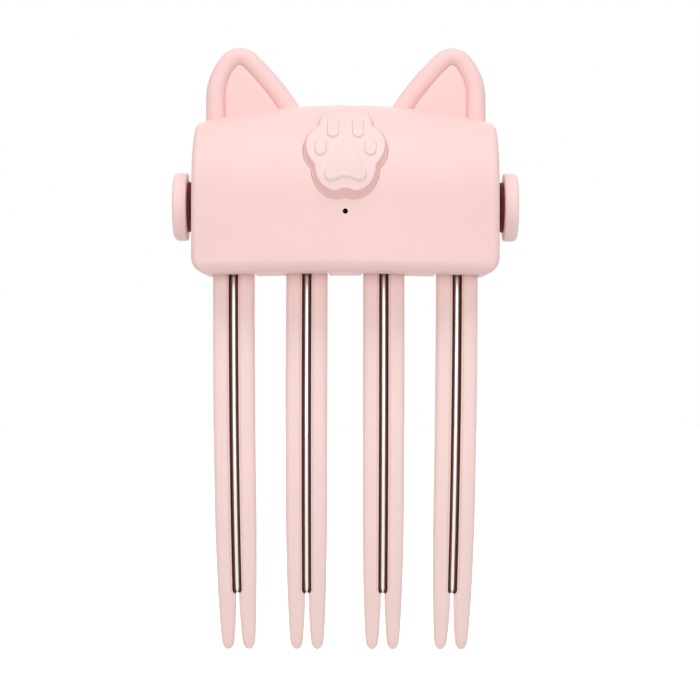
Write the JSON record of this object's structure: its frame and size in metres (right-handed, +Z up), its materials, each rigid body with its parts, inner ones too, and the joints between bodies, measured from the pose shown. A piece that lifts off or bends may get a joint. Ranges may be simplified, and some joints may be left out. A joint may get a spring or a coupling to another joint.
{
  "type": "heated root volumizing clip",
  "caption": "Pink cordless hair root clip: rolled housing with cat ears, paw button, side knobs and a forked comb that swings off fixed heated rods.",
  "frame": {"origin": "centre of the grip, where the teeth leave the housing, on the plane of the heater rods", "axes": "+X to the right along the housing, -Y towards the viewer of the paw button, +Z up to the ears"},
  "size_m": [0.087, 0.0342, 0.1534],
  "materials": {
    "shell_pink": "smooth matte",
    "button_pink": "smooth matte",
    "knob_pink": "smooth matte",
    "comb_pink": "smooth matte",
    "lens_black": "tinted",
    "rod_steel": "polished",
    "pin_steel": "turned",
    "spring_steel": "drawn wire",
    "screw_steel": "zinc plated",
    "port_steel": "plated",
    "holder_plastic": "heat-resistant",
    "fuse_ceramic": "plain",
    "core_ceramic": "plain",
    "board_green": "solder mask",
    "chip_black": "moulded",
    "stem_white": "moulded",
    "led_white": "clear",
    "cell_blue": "wrapped",
    "pad_rubber": "foam"
  },
  "bodies": {
    "housing": {"front_shell": "shell_pink", "rear_shell": "shell_pink", "indicator_lens": "lens_black", "torsion_spring_left": "spring_steel", "torsion_spring_right": "spring_steel", "rod_holder": "holder_plastic", "thermal_fuse": "fuse_ceramic", "control_board": "board_green", "charge_board": "board_green", "board_chips": "chip_black", "tact_switch": "chip_black", "indicator_led": "led_white", "usb_socket": "port_steel", "battery_cell": "cell_blue", "battery_pad": "pad_rubber", "housing_screws": "screw_steel", "heater_rod_1": "rod_steel", "heater_rod_2": "rod_steel", "heater_rod_3": "rod_steel", "heater_rod_4": "rod_steel", "heater_core_1": "core_ceramic", "heater_core_2": "core_ceramic", "heater_core_3": "core_ceramic", "heater_core_4": "core_ceramic"},
    "comb": {"fork_comb": "comb_pink", "hinge_pin_left": "pin_steel", "hinge_pin_right": "pin_steel", "knob_left": "knob_pink", "knob_right": "knob_pink"},
    "button": {"paw_button": "button_pink", "switch_stem": "stem_white"}
  },
  "joints": [
    {"name": "comb_swing", "type": "hinge", "parent": "housing", "child": "comb", "pos_m": [0, 0.008, 0.01725], "axis": [1, 0, 0], "range_deg": [0, 25], "stiffness_Nm_per_rad": 0.08, "springref_deg": -34.38},
    {"name": "button_press", "type": "slide", "parent": "housing", "child": "button", "axis": [0, 0.8339, -0.5519], "range_m": [0, 0.0006], "stiffness_N_per_m": 900, "springref_m": -0.0015}
  ]
}
